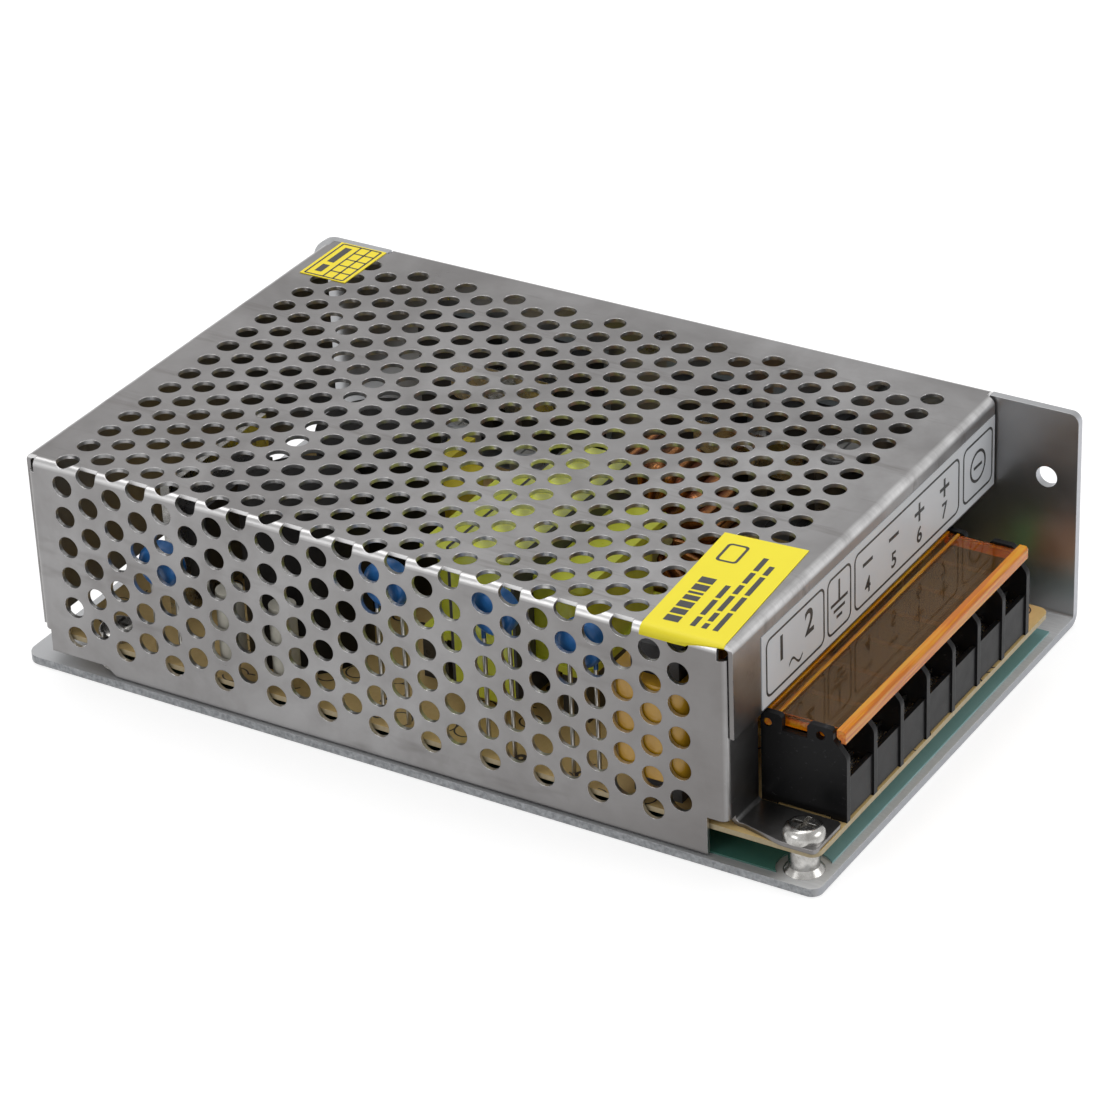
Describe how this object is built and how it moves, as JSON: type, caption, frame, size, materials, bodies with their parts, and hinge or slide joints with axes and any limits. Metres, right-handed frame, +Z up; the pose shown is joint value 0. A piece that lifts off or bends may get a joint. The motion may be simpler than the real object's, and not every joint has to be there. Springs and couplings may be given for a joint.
{
  "type": "caged switching power supply",
  "caption": "Caged switching power supply: folded chassis and perforated cover around a circuit board, screw terminals under a hinged amber cover.",
  "frame": {"origin": "centre of the base's outline, on its underside", "axes": "+X along the row of terminals, to the right seen from the terminal end; -Y out of the terminal end; +Z up from the base"},
  "size_m": [0.0989, 0.159, 0.0421],
  "materials": {
    "chassis": "satin, rough cut edges",
    "cover": "satin galvanised sheet",
    "board": "tan laminate",
    "film": "teal film",
    "nickel": "nickel plate",
    "standoff": "plated",
    "block": "black moulding",
    "terminal_metal": "tin plated",
    "amber": "clear amber",
    "trimmer": "orange moulding",
    "rotor": "ivory moulding",
    "lamp": "green lens",
    "ferrite": "matt ferrite",
    "bobbin": "black moulding",
    "tape": "yellow tape over the winding",
    "can_sleeve": "black sleeve",
    "small_can": "grey sleeve",
    "disc": "blue coating",
    "post": "cement body",
    "choke_tape": "yellow tape",
    "film_box": "yellow box",
    "thermistor": "dark green coating",
    "fuse": "glass tube with metal ends",
    "ring_core": "painted ring",
    "copper": "enamelled wire",
    "sink": "plain",
    "package": "moulded package",
    "pad": "grey pad",
    "spring_bar": "plated strip",
    "resistor": "tan body",
    "front_label": "silver-white label",
    "yellow_label": "yellow label"
  },
  "bodies": {
    "housing": {"chassis": "chassis", "cover": "cover", "insulation_film": "film", "circuit_board": "board", "standoffs": "standoff", "board_screws": "nickel", "cover_screws": "nickel", "terminal_block": "block", "terminal_plates": "terminal_metal", "trimmer_body": "trimmer", "indicator_led": "lamp", "transformer_core": "ferrite", "transformer_bobbin": "bobbin", "transformer_winding": "tape", "input_capacitors": "can_sleeve", "output_capacitors": "can_sleeve", "small_capacitors": "small_can", "disc_capacitors": "disc", "post_resistors": "post", "line_choke_core": "ferrite", "line_choke_coils": "choke_tape", "suppression_capacitor": "film_box", "surge_thermistor": "thermistor", "fuse": "fuse", "fuse_clips": "terminal_metal", "output_choke_core": "ring_core", "output_choke_winding": "copper", "bridge_heatsink": "sink", "bridge_rectifier": "package", "driver_transformer": "tape", "control_chip": "package", "optocouplers": "package", "resistors": "resistor", "switching_transistors": "package", "rectifier_diodes": "package", "thermal_pads": "pad", "clamp_bars": "spring_bar", "clamp_screws": "nickel", "front_label": "front_label", "top_label": "yellow_label", "corner_label": "yellow_label"},
    "clamp_1": {"wire_clamp_1": "nickel"},
    "screw_1": {"terminal_screw_1": "nickel"},
    "clamp_2": {"wire_clamp_2": "nickel"},
    "screw_2": {"terminal_screw_2": "nickel"},
    "clamp_3": {"wire_clamp_3": "nickel"},
    "screw_3": {"terminal_screw_3": "nickel"},
    "clamp_4": {"wire_clamp_4": "nickel"},
    "screw_4": {"terminal_screw_4": "nickel"},
    "clamp_5": {"wire_clamp_5": "nickel"},
    "screw_5": {"terminal_screw_5": "nickel"},
    "clamp_6": {"wire_clamp_6": "nickel"},
    "screw_6": {"terminal_screw_6": "nickel"},
    "clamp_7": {"wire_clamp_7": "nickel"},
    "screw_7": {"terminal_screw_7": "nickel"},
    "hinged_cover": {"terminal_cover": "amber"},
    "adjuster": {"trimmer_rotor": "rotor"}
  },
  "joints": [
    {"name": "clamp_1_lift", "type": "slide", "parent": "housing", "child": "clamp_1", "axis": [0, 0, 1], "range_m": [0, 0.0024]},
    {"name": "screw_1_turn", "type": "hinge", "parent": "clamp_1", "child": "screw_1", "pos_m": [-0.03135, -0.0709, 0.015], "axis": [0, 0, 1], "range_deg": [0, 1440]},
    {"name": "clamp_2_lift", "type": "slide", "parent": "housing", "child": "clamp_2", "axis": [0, 0, 1], "range_m": [0, 0.0024]},
    {"name": "screw_2_turn", "type": "hinge", "parent": "clamp_2", "child": "screw_2", "pos_m": [-0.02185, -0.0709, 0.015], "axis": [0, 0, 1], "range_deg": [0, 1440]},
    {"name": "clamp_3_lift", "type": "slide", "parent": "housing", "child": "clamp_3", "axis": [0, 0, 1], "range_m": [0, 0.0024]},
    {"name": "screw_3_turn", "type": "hinge", "parent": "clamp_3", "child": "screw_3", "pos_m": [-0.01235, -0.0709, 0.015], "axis": [0, 0, 1], "range_deg": [0, 1440]},
    {"name": "clamp_4_lift", "type": "slide", "parent": "housing", "child": "clamp_4", "axis": [0, 0, 1], "range_m": [0, 0.0024]},
    {"name": "screw_4_turn", "type": "hinge", "parent": "clamp_4", "child": "screw_4", "pos_m": [-0.00285, -0.0709, 0.015], "axis": [0, 0, 1], "range_deg": [0, 1440]},
    {"name": "clamp_5_lift", "type": "slide", "parent": "housing", "child": "clamp_5", "axis": [0, 0, 1], "range_m": [0, 0.0024]},
    {"name": "screw_5_turn", "type": "hinge", "parent": "clamp_5", "child": "screw_5", "pos_m": [0.00665, -0.0709, 0.015], "axis": [0, 0, 1], "range_deg": [0, 1440]},
    {"name": "clamp_6_lift", "type": "slide", "parent": "housing", "child": "clamp_6", "axis": [0, 0, 1], "range_m": [0, 0.0024]},
    {"name": "screw_6_turn", "type": "hinge", "parent": "clamp_6", "child": "screw_6", "pos_m": [0.01615, -0.0709, 0.015], "axis": [0, 0, 1], "range_deg": [0, 1440]},
    {"name": "clamp_7_lift", "type": "slide", "parent": "housing", "child": "clamp_7", "axis": [0, 0, 1], "range_m": [0, 0.0024]},
    {"name": "screw_7_turn", "type": "hinge", "parent": "clamp_7", "child": "screw_7", "pos_m": [0.02565, -0.0709, 0.015], "axis": [0, 0, 1], "range_deg": [0, 1440]},
    {"name": "terminal_cover_hinge", "type": "hinge", "parent": "housing", "child": "hinged_cover", "pos_m": [0, -0.06405, 0.0223], "axis": [-1, 0, 0], "range_deg": [0, 40]},
    {"name": "adjuster_turn", "type": "hinge", "parent": "housing", "child": "adjuster", "pos_m": [0.036, -0.071, 0.011], "axis": [0, 0, 1], "range_deg": [-130, 130]}
  ],
  "couplings": [
    {"joint": "screw_1_turn", "follows": "clamp_1_lift", "rad_per_m": 10472},
    {"joint": "screw_2_turn", "follows": "clamp_2_lift", "rad_per_m": 10472},
    {"joint": "screw_3_turn", "follows": "clamp_3_lift", "rad_per_m": 10472},
    {"joint": "screw_4_turn", "follows": "clamp_4_lift", "rad_per_m": 10472},
    {"joint": "screw_5_turn", "follows": "clamp_5_lift", "rad_per_m": 10472},
    {"joint": "screw_6_turn", "follows": "clamp_6_lift", "rad_per_m": 10472},
    {"joint": "screw_7_turn", "follows": "clamp_7_lift", "rad_per_m": 10472}
  ]
}
